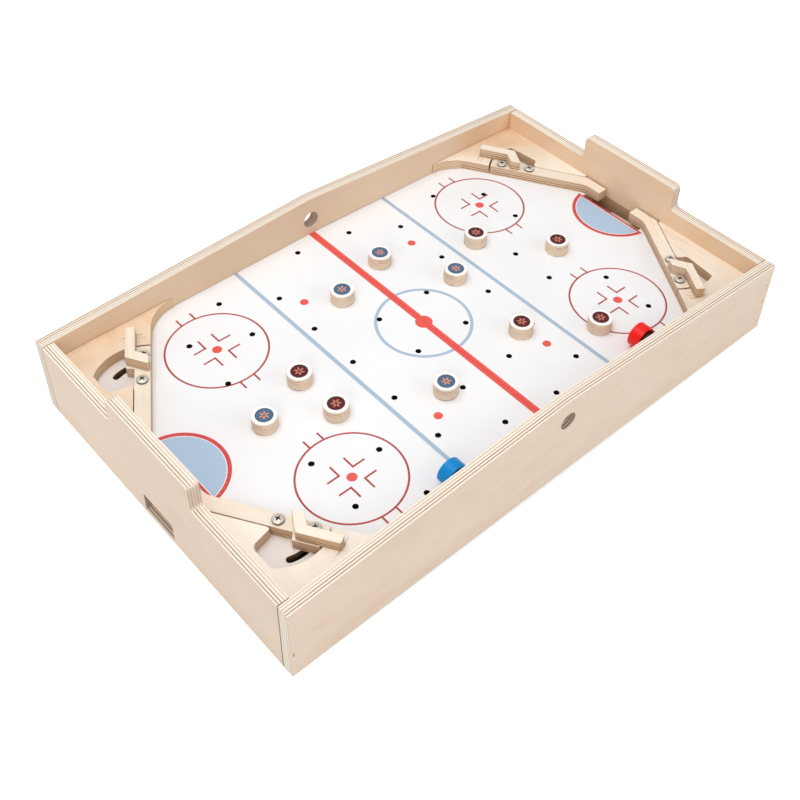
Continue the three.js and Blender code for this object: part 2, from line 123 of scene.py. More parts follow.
PINE_LIGHT = colour(232, 203, 160)
PINE_DARK = colour(205, 165, 115)
# Dark browns for the dowels, painted shade of the caps' hollows
DOWEL_SHADE_LIGHT = colour(88, 52, 40)
DOWEL_SHADE_DARK = colour(58, 34, 28)
ICE_WHITE = colour(247, 247, 248)
ICE_CLOUD = colour(242, 241, 242)
LINE_RED = colour(235, 75, 64)
CREASE_RED = colour(212, 56, 52)
THIN_RED = colour(174, 48, 44)
LINE_BLUE = colour(166, 188, 209)
CREASE_BLUE = colour(171, 197, 223)
# Painted shade: black for the holes' sides, two browns for the slots' cut faces and a greyer ice for the
# pockets
HOLE_SHADE_BLACK = colour(14, 12, 11)
SLOT_SHADE_BROWN = colour(96, 68, 48)
SLOT_SHADE_PALE = colour(170, 134, 102)
POCKET_SHADE_ICE = colour(232, 222, 214)
CAP_RED = colour(242, 30, 22)
CAP_BLUE = colour(0, 138, 212)
DISC_LIGHT = colour(230, 208, 184)
DISC_DARK = colour(158, 124, 97)
ROUND_WHITE = colour(247, 245, 243)
ROUND_MAROON = colour(88, 15, 20)
ROUND_BLUE = colour(66, 106, 142)
ROUND_PEACH = colour(218, 148, 118)
ROUND_RUSSET = colour(198, 124, 100)
ROUND_INK = colour(40, 24, 28)
STEEL = colour(228, 222, 210)
STEEL_DULL = colour(188, 181, 168)
# The dark of painted shade on the screw heads' sides and in their recesses
HEAD_SHADE = colour(48, 41, 36)


class Value:
    """A number that changes over a surface, with ordinary arithmetic."""

    def __init__(self, nodes, link):
        self.nodes = nodes
        self.link = link

    def calc(self, operation, *others):
        return self.nodes.maths(operation, self, *others)

    def __add__(self, other):
        return self.calc("ADD", other)

    __radd__ = __add__

    def __mul__(self, other):
        return self.calc("MULTIPLY", other)

    __rmul__ = __mul__

    def __sub__(self, other):
        return self.calc("SUBTRACT", other)

    def __rsub__(self, other):
        return self.nodes.maths("SUBTRACT", other, self)

    def __truediv__(self, other):
        return self.calc("DIVIDE", other)

    def __abs__(self):
        return self.calc("ABSOLUTE")

    def least(self, other):
        return self.calc("MINIMUM", other)

    def most(self, other):
        return self.calc("MAXIMUM", other)

    def over(self, limit):
        return self.calc("GREATER_THAN", limit)

    def root(self):
        return self.calc("SQRT")

    def clamp(self):
        return self.most(0).least(1)

    def ramp(self, low, high):
        """0 below low, 1 above high, straight between."""
        return ((self - low) / (high - low)).clamp()

    def fade(self, low, high):
        """1 below low, 0 above high, straight between."""
        return 1 - self.ramp(low, high)


# Sockets of a Mix node that mixes colours
MIX_SHARE = 0
MIX_FIRST = 6
MIX_SECOND = 7
MIX_RESULT = 2


class Nodes:
    """The nodes of a material or of the sky."""

    def __init__(self, tree):
        self.tree = tree

    def feed(self, socket, value):
        if isinstance(value, Value):
            self.tree.links.new(value.link, socket)
        elif isinstance(value, bpy.types.NodeSocket):
            self.tree.links.new(value, socket)
        else:
            socket.default_value = value

    def node(self, kind, settings=None, inputs=None):
        made = self.tree.nodes.new(kind)
        for key, value in (settings or {}).items():
            setattr(made, key, value)
        for key, value in (inputs or {}).items():
            self.feed(made.inputs[key], value)
        return made

    def maths(self, operation, *values):
        made = self.node("ShaderNodeMath", {"operation": operation}, dict(enumerate(values)))
        return Value(self, made.outputs[0])

    def split(self, vector):
        parts = self.node("ShaderNodeSeparateXYZ", inputs={0: vector})
        return [Value(self, parts.outputs[i]) for i in range(3)]

    def vector(self, x, y, z):
        return self.node("ShaderNodeCombineXYZ", inputs={0: x, 1: y, 2: z}).outputs[0]

    def noise(self, x, y, z, detail, roughness=0.5, distortion=0):
        """Soft random patches of about one unit."""
        made = self.node("ShaderNodeTexNoise", {"noise_dimensions": "3D"}, {
            "Vector": self.vector(x, y, z), "Scale": 1, "Detail": detail,
            "Roughness": roughness, "Distortion": distortion,
        })
        return Value(self, made.outputs["Fac"])

    def patches(self, place, size, detail, roughness=0.5, distortion=0):
        """Soft random patches of about the given size, in millimetres along each axis."""
        x, y, z = [axis / reach for axis, reach in zip(place, size)]
        return self.noise(x, y, z, detail, roughness, distortion)

    def mix(self, share, first, second):
        made = self.node("ShaderNodeMix", {"data_type": "RGBA"}, {
            MIX_SHARE: share, MIX_FIRST: first, MIX_SECOND: second,
        })
        return made.outputs[MIX_RESULT]

    def shade(self, base, amount):
        """Multiplies a colour: darker where amount is below 1, lighter where it is above."""
        grey = self.vector(amount, amount, amount)
        made = self.node("ShaderNodeMix", {"data_type": "RGBA", "blend_type": "MULTIPLY"}, {
            MIX_SHARE: 1, MIX_FIRST: base, MIX_SECOND: grey,
        })
        return made.outputs[MIX_RESULT]


class Finish(Nodes):
    """A material. Every pattern on it reads object coordinates."""

    def __init__(self, name, specular, metallic=0):
        self.material = bpy.data.materials.new(name)
        self.material.use_nodes = True
        super().__init__(self.material.node_tree)
        self.shader = self.tree.nodes["Principled BSDF"]
        self.shader.inputs["Metallic"].default_value = metallic
        self.shader.inputs["Specular IOR Level"].default_value = specular
        self.coordinates = self.node("ShaderNodeTexCoord")

    def place(self):
        """The point on the surface, in millimetres."""
        return [axis * (1 / MM) for axis in self.split(self.coordinates.outputs["Object"])]

    def facing(self):
        """The direction that the surface faces."""
        return self.split(self.coordinates.outputs["Normal"])

    def bump(self, height, distance, strength):
        made = self.node("ShaderNodeBump", inputs={
            "Height": height, "Distance": distance, "Strength": strength,
        })
        self.feed(self.shader.inputs["Normal"], made.outputs[0])

    def finish(self, base, roughness):
        self.feed(self.shader.inputs["Base Color"], base)
        self.feed(self.shader.inputs["Roughness"], roughness)
        return self.material


def length(a, b):
    """How far a place is from a centre, from its distances along two axes."""
    return (a * a + b * b).root()


# Wood: sizes of the figure in millimetres, along the grain, across it and into the sheet
BAND_SIZE = (120, 26, 20)
CATHEDRAL_SIZE = (260, 46, 40)
CATHEDRAL_RINGS = 44
FIBRE_SIZE = (9, 0.55, 3)
FLECK_SIZE = (3.2, 0.7, 2)
CLOUD_SIZE = (70, 50, 30)
STREAK_SIZE = (150, 3.4, 20)
HALF_RANGE = (0.25, 0.75)
FLECK_LEVELS = (0.755, 0.80)
STREAK_LEVELS = (0.50, 0.78)
EVEN_TONE = 0.45
MIDDLE_TONE = 0.55


def veneer(f, along, across, depth, pale, middle, deep, figure):
    """Rotary-cut birch: soft broad figure, fine pores and a few short brown flecks. A figure of 1
    shows it in full, and 0 leaves an even tone."""
    grain = (along, across, depth)
    bands = f.patches(grain, BAND_SIZE, 3, 0.5, 0.6)
    cathedral = f.patches(grain, CATHEDRAL_SIZE, 1, 0.4, 1.6)
    rings = (cathedral * CATHEDRAL_RINGS).calc("SINE") * 0.5 + 0.5
    fibre = f.patches(grain, FIBRE_SIZE, 2, 0.6)
    fleck = f.patches((along, across, depth + 14), FLECK_SIZE, 1).ramp(*FLECK_LEVELS)
    cloud = f.patches((along, across, depth + 90), CLOUD_SIZE, 3, 0.55)
    streak = f.patches((along, across, depth + 100), STREAK_SIZE, 2, 0.5, 0.3).ramp(*STREAK_LEVELS)
    tone = bands.ramp(*HALF_RANGE) * 0.5 + rings * 0.10 + cloud.ramp(*HALF_RANGE) * 0.40
    tone = (tone + streak * 0.45) * figure + (1 - figure) * EVEN_TONE
    wood = f.mix(tone.ramp(0, MIDDLE_TONE), pale, middle)
    wood = f.mix(tone.ramp(MIDDLE_TONE, 1), wood, deep)
    wood = f.shade(wood, 1 - fibre.ramp(0.35, 0.75) * 0.035)
    wood = f.mix(fleck * 0.45, wood, deep)
    return wood, fibre


EDGE_CLOUD_LENGTH = 22
EDGE_CLOUD_DEPTH = 1.1
PORE_LENGTH = 0.5
PORE_DEPTH = 0.35
SEAM_LEVELS = (0.38, 0.5)
PLY_TONE_STEP = 2.4
TURNED_TONE_STEP = 1.7


def ply_edge(f, depth, along_edge, wobble, plies, thickness, turned, light, dark):
    """Stripes of the plies on a bare edge. Turned edges show end grain in the other plies."""
    pitch = thickness / plies
    ply = depth / pitch + (wobble - 0.5) * 0.3
    inside_ply = ply.calc("FRACT")
    odd = (ply * 0.5).calc("FRACT").over(0.5)
    odd = odd + turned - odd * turned * 2
    seam = abs(inside_ply - 0.5).ramp(*SEAM_LEVELS)
    own = (ply.calc("FLOOR") * PLY_TONE_STEP + turned * TURNED_TONE_STEP).calc("SINE")
    own = (own * 0.5 + 0.5) * 0.55 + 0.45
    soft = f.noise(along_edge / EDGE_CLOUD_LENGTH, depth / EDGE_CLOUD_DEPTH, wobble * 3, 2, 0.6)
    pores = f.noise(along_edge / PORE_LENGTH, depth / PORE_DEPTH, wobble, 1)
    strength = odd * own * (0.72 + soft * 0.5) * (1 - turned * 0.45)
    wood = f.mix(strength.clamp(), light, dark)
    wood = f.mix(seam * 0.22 * own, wood, EDGE_GLUE)
    wood = f.shade(wood, 1 - pores.ramp(0.5, 0.8) * odd * 0.12)
    return wood, odd


PLY_WOBBLE = 34
GRAIN_BUMP = 0.12 * MM
FACE_SHIFT = 40
EDGE_TURN = (0.45, 0.62)
TURNED_EDGE = 0.7


def plywood(name, lie, thickness, plies, marks=None, tones=(BIRCH_LIGHT, BIRCH_MID, BIRCH_DEEP),
            figure=0.6, edge=(EDGE_LIGHT, EDGE_DARK)):
    """Plywood for a sheet. lie(f) gives, in millimetres, the place along the grain, across it and
    into the sheet, and how far the surface faces out of the sheet and along its grain."""
    f = Finish(name, specular=0.3)
    along, across, depth, flat, along_grain = lie(f)
    wood, fibre = veneer(f, along, across, depth.over(thickness / 2) * FACE_SHIFT, *tones, figure)
    along_edge = along + across
    wobble = f.noise(along_edge / PLY_WOBBLE, 0.5, 0.5, 1, 0.4)
    turned = along_grain.over(TURNED_EDGE)
    stripes, odd = ply_edge(f, depth, along_edge, wobble, plies, thickness, turned, *edge)
    on_edge = flat.fade(*EDGE_TURN)
    base = f.mix(on_edge, wood, stripes)
    if marks:
        base = marks(f, base, on_edge)
    f.bump(fibre * 0.5 - odd * on_edge * 0.2, GRAIN_BUMP, 0.5)
    rough = 0.50 + fibre * 0.08 + on_edge * 0.12
    return f.finish(base, rough)


# How far the figure of the far piece lies from the near one's, so that the two don't look alike
FAR_WALL = 300
FAR_STRIP = 90
FAR_UPRIGHT = 70
FAR_END_PLATE = 31
REAR_PLATE = 57


def mirror_seed(x, y):
    """A different number in each quarter of the box, so mirrored pieces differ."""
    return x.over(0) * FAR_END_PLATE + y.over(0) * REAR_PLATE


def lie_long_wall(f):
    x, y, z = f.place()
    nx, ny, _ = f.facing()
    depth = OUTER_Y - abs(y)
    return x, z + y.over(0) * FAR_WALL, depth, abs(ny), abs(nx)


def lie_end_wall(f):
    x, y, z = f.place()
    nx, ny, _ = f.facing()
    depth = OUTER_X - abs(x)
    return y, z + x.over(0) * FAR_WALL, depth, abs(nx), abs(ny)


def board_height(x, z):
    """Height over the ice, square to it."""
    return abs(x) * math.sin(SLOPE) + (z - ICE_MIDDLE / MM) * math.cos(SLOPE)


def lie_on_ice(bottom, angle, seed=0):
    """For sheets that lie on the ice, with their grain at an angle to the end wall's normal."""
    def lie(f):
        x, y, z = f.place()
        nx, ny, nz = f.facing()
        u = INNER_X - abs(x)
        v = abs(y)
        along = u * math.cos(angle) + v * math.sin(angle)
        across = v * math.cos(angle) - u * math.sin(angle) + mirror_seed(x, y) + seed
        side = x.over(0) * 2 - 1
        row = y.over(0) * 2 - 1
        along_grain = abs(ny * row * math.sin(angle) - nx * side * math.cos(angle))
        return along, across, board_height(x, z) - bottom / MM, abs(nz), along_grain
    return lie


def lie_flat_strip(f):
    """For strips that lie flat along Y on the table."""
    x, y, z = f.place()
    _, ny, nz = f.facing()
    return y, x + x.over(0) * FAR_STRIP, z, abs(nz), abs(ny)


def lie_upright_y(outer):
    """For upright strips whose face looks along X; outer is where their outer face is."""
    def lie(f):
        x, y, z = f.place()
        nx, ny, _ = f.facing()
        return y, z + x.over(0) * FAR_UPRIGHT, outer / MM - abs(x), abs(nx), abs(ny)
    return lie


def lie_upright_x(inner):
    """For upright strips whose face looks along Y; inner is where their inner face is."""
    def lie(f):
        x, y, z = f.place()
        nx, ny, _ = f.facing()
        return x, z + y.over(0) * FAR_UPRIGHT, abs(y) - inner / MM, abs(ny), abs(nx)
    return lie


# Sizes of the marks' patches and the places of the marks, in millimetres
WALL_BLOTCH = (24, 24, 13)
END_BLOTCH = (30, 22, 26)
JOINT_RAG = (3, 3, 7)
PLATE_BLOTCH = 30
HOLE_HEIGHT = 79
HOLE_REACH = 11
HOLE_STRIPES = 0.36
SHADE_MIDDLE_X = -65
SHADE_MIDDLE_REACH = (70, 160)
REAR_RIGHT_END = (205, 250)
REAR_LIT_CORNER = (258, 290)
BLOTCH_LEVELS = (0.5, 0.75)
NICK_X = -317.2
NICK_HEIGHT = 31
NICK_WIDTH = 1.3
NICK_LENGTH = 3.2
BACKBOARD_STEP = 89
WINDOW_HALF_WIDTH = 26
WINDOW_FOOT = (1.4, 1.8)
WINDOW_TOP = 27
UNDER_ICE = 55.6
LIGHTER_REAR = (-170, 150)
BELOW_ICE_SHADE_HEIGHTS = (20, 56)
JOINT_FROM_WALL = 1.05
JOINT_TO_WALL = 0.55
FAR_CORNER_X = 300
FAR_CORNER_Y = 180
FAR_CORNER_REACH = (25, 95)
REAR_PLATE_DEPTH = (150, 182)
RUB_RADIUS = 61.5
RUB_WIDTH = (0.25, 0.85)
RUB_START = (0.96, 1.10)
RUB_END = (1.22, 1.42)
SECOND_RUB_RADIUS = 57.5
SECOND_RUB_WIDTH = (0.1, 0.5)
SECOND_RUB_START = (0.90, 1.0)
SECOND_RUB_END = (1.04, 1.2)


def inner_face(distance, face):
    """1 on the face that is this far from the middle, 0 on what lies further out."""
    return distance.fade(face - 0.2, face + 0.6)


def wall_marks(f, wood, on_edge):
    """Painted warm shade on the inner face, darkest at the middle of the rear wall, warmer towards its
    right-hand end and painted lighter at its corner; tan blotches, painted shade in the round hole, and a
    small nick near the front left corner."""
    x, y, z = f.place()
    inner = inner_face(abs(y), INNER_Y)
    rear = inner * y.over(0)
    middle = rear * abs(x - SHADE_MIDDLE_X).fade(*SHADE_MIDDLE_REACH)
    right_end = rear * x.ramp(*REAR_RIGHT_END)
    corner = rear * x.ramp(*REAR_LIT_CORNER)
    # Painted warm shade on the inner face, darkest at the middle of the rear wall; warmer towards its
    # right-hand end, and painted lighter at its corner
    wood = f.mix(inner * 0.36 + middle * 0.09 + right_end * 0.32 - corner * 0.14, wood, WARM_BIRCH)
    wood = f.shade(wood, 1 - inner * 0.10 - middle * 0.10 + right_end * 0.03 + corner * 0.12)
    blotch = f.patches((x, y, z), WALL_BLOTCH, 3, 0.6)
    wood = f.mix(blotch.ramp(*BLOTCH_LEVELS) * (1 - on_edge) * 0.30, wood, BLOTCH_TAN)
    # Painted shade in the round hole's bore, over its ply stripes
    in_hole = on_edge * length(x, z - HOLE_HEIGHT).fade(HOLE_REACH, HOLE_REACH + 2)
    other_ply = ((OUTER_Y - abs(y)) * HOLE_STRIPES).calc("FRACT").over(0.5)
    wood = f.mix(in_hole * (0.35 + other_ply * 0.45), wood, HOLE_SHADE_BROWN)
    nick = length((x - NICK_X) / NICK_WIDTH, (z - NICK_HEIGHT) / NICK_LENGTH).fade(0.5, 1.1)
    nick = nick * (1 - y.over(0)) * (1 - inner)
    return f.mix(nick * 0.7, wood, NICK_BROWN)


def end_marks(f, wood, on_edge):
    """Painted warm shade on the inner face, with tan blotches; painted light that grows towards the rear,
    most on the outer face;
    painted shade below the ice, on the sides of the backboard's step and in the window; and a dark joint
    against the long walls."""
    x, y, z = f.place()
    _, ny, nz = f.facing()
    inner = inner_face(abs(x), INNER_X)
    blotch = f.patches((x, y, z), END_BLOTCH, 3, 0.6)
    # Painted warm shade on the inner face; the blotches in it are the wood's own
    wood = f.mix(inner * (0.46 + blotch.ramp(0.4, 0.7) * 0.28), wood, WARM_BIRCH)
    # Painted light, growing towards the rear, half as strong on the inner face
    wood = f.shade(wood, 1 + (1 - inner * 0.5) * y.ramp(*LIGHTER_REAR) * 0.11)
    # Painted shade below the ice in the goal, a little deeper further down
    low = inner * z.fade(UNDER_ICE, UNDER_ICE + 0.8) * abs(y).fade(GOAL_SIDE - 0.5, GOAL_SIDE)
    wood = f.mix(low * (0.9 - z.ramp(*BELOW_ICE_SHADE_HEIGHTS) * 0.08), wood, BELOW_ICE_SHADE_BROWN)
    # Painted shade on the sides of the backboard's step that face along the box
    step_side_shade = on_edge * abs(ny).ramp(0.6, 0.9) * z.over(BACKBOARD_STEP)
    wood = f.mix(step_side_shade * 0.42, wood, STEP_SHADE_BROWN)
    # Painted shade on the window's cut edges, less on those that face up
    in_window = on_edge * abs(y).fade(WINDOW_HALF_WIDTH, WINDOW_HALF_WIDTH + 1)
    in_window = in_window * z.ramp(*WINDOW_FOOT) * z.fade(WINDOW_TOP, WINDOW_TOP + 1)
    wood = f.mix(in_window * (0.62 - nz.ramp(0.2, 0.6) * 0.5), wood, WINDOW_SHADE_BROWN)
    ragged = f.patches((x, y, z), JOINT_RAG, 2, 0.6)
    joint = abs(y).ramp(INNER_Y - JOINT_FROM_WALL, INNER_Y - JOINT_TO_WALL)
    return f.mix(joint * (1 - inner) * (0.68 + ragged * 0.5).clamp(), wood, JOINT_DARK)


def plate_marks(f, wood, on_edge):
    """Pale wood, warmer on the rear left plate, with warmth varying in patches; painted light makes the
    front left and rear right plates paler, and painted warm shade grows towards the rear wall and in the
    far right corner. Faint dark arcs where the handles' ends have rubbed."""
    x, y, _ = f.place()
    blotch = f.noise(x / PLATE_BLOTCH, y / PLATE_BLOTCH, mirror_seed(x, y), 3, 0.6)
    right = x.over(0)
    rear = y.over(0)
    # Painted light: the front left and rear right plates are made paler
    lit_plates = ((1 - right) * (1 - rear)).most(right * rear) * (1 - on_edge)
    wood = f.mix(lit_plates * 0.55, wood, PALE_FAIR)
    # Painted warm shade towards the rear wall and in the far right corner, which is also darkened; the
    # patches in the warmth are the wood's own
    from_corner = length(x - FAR_CORNER_X, y - FAR_CORNER_Y)
    shaded_far_corner = right * rear * from_corner.fade(*FAR_CORNER_REACH)
    own = right * (1 - rear) * 0.04 + rear * (0.30 + y.ramp(*REAR_PLATE_DEPTH) * 0.25)
    own = own - right * rear * 0.32 + shaded_far_corner * 0.60
    warmth = own * (0.75 + blotch.ramp(0.35, 0.7) * 0.5)
    wood = f.mix(warmth * (1 - on_edge * 0.6), wood, WARM_BIRCH)
    wood = f.shade(wood, 1 - shaded_far_corner * 0.05)
    u = INNER_X - abs(x) - PIVOT_U
    v = abs(y) - PIVOT_V
    radius = length(u, v)
    angle = v.calc("ARCTAN2", u)
    scuff = f.noise(angle * 9, radius / 0.8, mirror_seed(x, y), 3, 0.7)
    line = abs(radius - RUB_RADIUS - scuff * 1.2).fade(*RUB_WIDTH)
    reach = angle.ramp(*RUB_START) * angle.fade(*RUB_END)
    second = abs(radius - SECOND_RUB_RADIUS - scuff * 0.8).fade(*SECOND_RUB_WIDTH)
    reach_second = angle.ramp(*SECOND_RUB_START) * angle.fade(*SECOND_RUB_END)
    mark = (line * reach + second * reach_second * 0.6) * scuff.ramp(0.35, 0.55) * (1 - on_edge)
    return f.mix(mark.clamp() * 0.9, wood, RUB_BROWN)


SOFTWOOD_GRAIN = (4, 130, 4)
SOFTWOOD_RING = (22, 300, 22)
SOFTWOOD_RINGS = 60
SOFTWOOD_BUMP = 0.2 * MM


def softwood(name, light, dark):
    """Planed softwood, for the pieces below the ice and, made dark as painted shade inside the caps'
    hollows, for the caps' dowels.
    """
    f = Finish(name, specular=0.3)
    x, y, z = f.place()
    grain = f.patches((x, y, z), SOFTWOOD_GRAIN, 3, 0.6, 0.6)
    ring_field = f.patches((x, y, z), SOFTWOOD_RING, 1, 0.5, 0.5)
    rings = (ring_field * SOFTWOOD_RINGS).calc("SINE") * 0.5 + 0.5
    wood = f.mix(rings * 0.55 + grain.ramp(0.35, 0.7) * 0.35, light, dark)
    f.bump(grain, SOFTWOOD_BUMP, 0.4)
    return f.finish(wood, 0.58 + grain * 0.12)


# The printed ice
CIRCLE_X = 180.3
CIRCLE_Y = 105.0
CIRCLE_RADIUS = 51.0
THIN = 2.0
SPOT_RADIUS = 5.0
CHEVRON_X = 8.0
CHEVRON_Y = 8.5
CHEVRON_LEG = 12.5
HASH_X = 8.0
HASH_END = 61.0
NEUTRAL_X = 74.0
NEUTRAL_Y = 102.7
NEUTRAL_RADIUS = 4.5
MIDDLE_RADIUS = 49.0
MIDDLE_LINE = 3.4
MIDDLE_SPOT = 9.0
RED_LINE = 8.5
BLUE_LINE_X = 102.0
BLUE_LINE = 4.5
CREASE_FROM_END = 13.0
CREASE_RADIUS = 48.0
CREASE_LINE = 4.0
CREASE_GAP = 0.8
GOAL_LINE_FROM_END = 19.5
GOAL_LINE = 2.5
PRINT_BLUR = 0.12
SLOT_REACH = 44
ICE_CLOUD_SIZE = 90
WEAR_SIZE = 2
CUT_TURN = (0.5, 0.8)
LAYER = 2
SLIVER = 0.1
BOARD_END_MARGIN = 1.5
BEHIND_FLIPPER = (3, 8)
RIDGE_REACH = (1.5, 2.5)
ICE_BUMP = 0.08 * MM


def stroke(distance, width):
    """1 within half a width of the line, with a slightly soft edge."""
    return distance.fade(width / 2 - PRINT_BLUR, width / 2 + PRINT_BLUR)


def printed_ice():
    """White print with lines, circles and creases in red and blue, and painted shade on the ice in the
    pockets behind the flippers. The holes' sides are black as painted shade, the slots' sides show brown
    plies darkened as painted shade, and the end of the board a pale ply edge."""
    f = Finish("printed ice", specular=0.45)
    x, y, z = f.place()
    _, _, nz = f.facing()
    ax = abs(x)
    ay = abs(y)
    cloud = f.noise(x / ICE_CLOUD_SIZE, y / ICE_CLOUD_SIZE, 0, 3)
    base = f.mix(cloud.ramp(0.35, 0.7), ICE_WHITE, ICE_CLOUD)

    crease = length(ax - (INNER_X - CREASE_FROM_END), ay)
    line_end = INNER_X - GOAL_LINE_FROM_END
    before_goal = ax.fade(line_end - PRINT_BLUR, line_end + PRINT_BLUR)
    blue = stroke(abs(ax - BLUE_LINE_X), BLUE_LINE)
    blue = blue.most(stroke(abs(length(x, y) - MIDDLE_RADIUS), MIDDLE_LINE))
    fill_end = line_end - GOAL_LINE - CREASE_GAP
    crease_fill = stroke(crease, 2 * (CREASE_RADIUS - CREASE_LINE - CREASE_GAP))
    crease_fill = crease_fill * ax.fade(fill_end - PRINT_BLUR, fill_end + PRINT_BLUR)

    red = stroke(ax, RED_LINE)
    red = red.most(stroke(length(x, y), 2 * MIDDLE_SPOT))
    red = red.most(stroke(length(ax - NEUTRAL_X, ay - NEUTRAL_Y), 2 * NEUTRAL_RADIUS))
    red = red.most(stroke(length(ax - CIRCLE_X, ay - CIRCLE_Y), 2 * SPOT_RADIUS))
    crease_ring = stroke(abs(crease - CREASE_RADIUS + CREASE_LINE / 2), CREASE_LINE) * before_goal
    goal_line = abs(ax - (line_end - GOAL_LINE / 2))
    crease_ring = crease_ring.most(stroke(goal_line, GOAL_LINE) * stroke(ay, 2 * CREASE_RADIUS))

    dx = abs(ax - CIRCLE_X)
    dy = abs(ay - CIRCLE_Y)
    ring = stroke(abs(length(dx, dy) - CIRCLE_RADIUS), THIN)
    in_x = stroke(abs(dx - CHEVRON_X - CHEVRON_LEG / 2), CHEVRON_LEG + THIN)
    in_y = stroke(abs(dy - CHEVRON_Y - CHEVRON_LEG / 2), CHEVRON_LEG + THIN)
    chevron = (stroke(abs(dy - CHEVRON_Y), THIN) * in_x).most(stroke(abs(dx - CHEVRON_X), THIN) * in_y)
    hash_middle = (CIRCLE_RADIUS + HASH_END) / 2
    hashes = stroke(abs(dx - HASH_X), THIN) * stroke(abs(dy - hash_middle), HASH_END - CIRCLE_RADIUS)
    thin = ring.most(chevron).most(hashes)

    print_wear = 1 - f.noise(x / WEAR_SIZE, y / WEAR_SIZE, 1, 2, 0.6).ramp(0.35, 0.8) * 0.10
    base = f.mix(blue * print_wear, base, LINE_BLUE)
    base = f.mix(crease_fill * print_wear, base, CREASE_BLUE)
    base = f.mix(thin * print_wear, base, THIN_RED)
    base = f.mix(crease_ring * print_wear, base, CREASE_RED)
    base = f.mix(red * print_wear, base, LINE_RED)

    height = board_height(x, z)
    cut_face = nz.fade(*CUT_TURN)
    layer = (height / LAYER + SLIVER).calc("FRACT").over(0.5)
    # Painted shade: the slots' cut faces in browns darker than bare ply, striped by the layers
    brown = f.mix(layer * 0.8, SLOT_SHADE_BROWN, SLOT_SHADE_PALE)
    near_end = ax.over(line_end - BOARD_END_MARGIN)
    pale_edge = f.mix(layer, EDGE_LIGHT, EDGE_DARK)
    from_pivot = length(INNER_X - ax - PIVOT_U, ay - PIVOT_V)
    in_slot = from_pivot.fade(SLOT_REACH, SLOT_REACH + 1)
    behind = (ay - PIVOT_V) * math.cos(FLIPPER_ANGLE)
    behind = behind - (INNER_X - ax - PIVOT_U) * math.sin(FLIPPER_ANGLE)
    # Painted shade on the ice in the pockets behind the flippers
    base = f.mix(behind.ramp(*BEHIND_FLIPPER) * 0.6, base, POCKET_SHADE_ICE)
    # Painted shade: the holes' sides black
    cut = f.mix(in_slot, HOLE_SHADE_BLACK, brown)
    cut = f.mix(near_end, cut, pale_edge)
    underside = height.fade(-ICE_BOARD / MM + SLIVER, -ICE_BOARD / MM + 2 * SLIVER)
    cut = f.mix(underside, cut, BIRCH_MID)
    at_ridge = ax.fade(*RIDGE_REACH)
    cut = f.mix(at_ridge, cut, LINE_RED)
    base = f.mix(cut_face, base, cut)
    f.bump(cloud, ICE_BUMP, 0.2)
    return f.finish(base, 0.30 + cloud * 0.08 + cut_face * 0.4)


# Metal and plastic, with the sizes of their patches in millimetres
GRIME_SIZE = (1.6, 1.6, 1.6)
SHEEN_SIZE = (6, 6, 6)
MOULD_SIZE = (0.5, 0.5, 0.5)
HEAD_TURN = (0.30, 0.74)
STEEL_BUMP = 0.05 * MM
PLASTIC_BUMP = 0.03 * MM


def plated_steel():
    """Bright crowns with dull patches; painted shade on the heads' sides and in their cross recesses,
    which also makes the sideways nail heads dark.
    """
    f = Finish("zinc plated steel", specular=0.5, metallic=0.35)
    x, y, z = f.place()
    _, _, nz = f.facing()
    grime = f.patches((x, y, z), GRIME_SIZE, 3, 0.6)
    base = f.mix(grime.ramp(0.35, 0.75), STEEL, STEEL_DULL)
    side = nz.fade(*HEAD_TURN)
    recess = Value(f, f.node("ShaderNodeAttribute", {"attribute_name": "recess"}).outputs["Fac"])
    # Painted shade on faces that turn away from up and in the cross recesses
    base = f.mix((side * 0.85).most(recess * 0.97), base, HEAD_SHADE)
    f.bump(grime, STEEL_BUMP, 0.3)
    return f.finish(base, 0.26 + grime * 0.16)


def moulded_plastic(name, shade):
    """Smooth plastic with a faint grain, for the caps."""
    f = Finish(name, specular=0.26)
    x, y, z = f.place()
    sheen = f.patches((x, y, z), SHEEN_SIZE, 2)
    fine = f.patches((x, y, z), MOULD_SIZE, 2)
    base = f.shade(shade, 0.97 + sheen * 0.06)
    f.bump(fine, PLASTIC_BUMP, 0.35)
    return f.finish(base, 0.26 + sheen * 0.10)


# Players
PLAYER_RADIUS = 12.5 * MM
PLAYER_HEIGHT = 15 * MM
PLAYER_PLIES = 11
ROUND_RADIUS = 8.6
PETALS = 6
PETAL_MIDDLE = 3.9
PETAL_SWELL = 1.7
HEART_WIDTH = 2.8
RING_INK = 0.6
PETAL_INK = 0.55
STRIPE_SHIFT = 0.4
END_GRAIN_TURN = 0.4
DISC_FIBRE = (9, 0.6, 2)
TOP_TURN = (0.35, 0.6)
END_GRAIN = (0.60, 0.80)
DISC_BUMP = 0.1 * MM


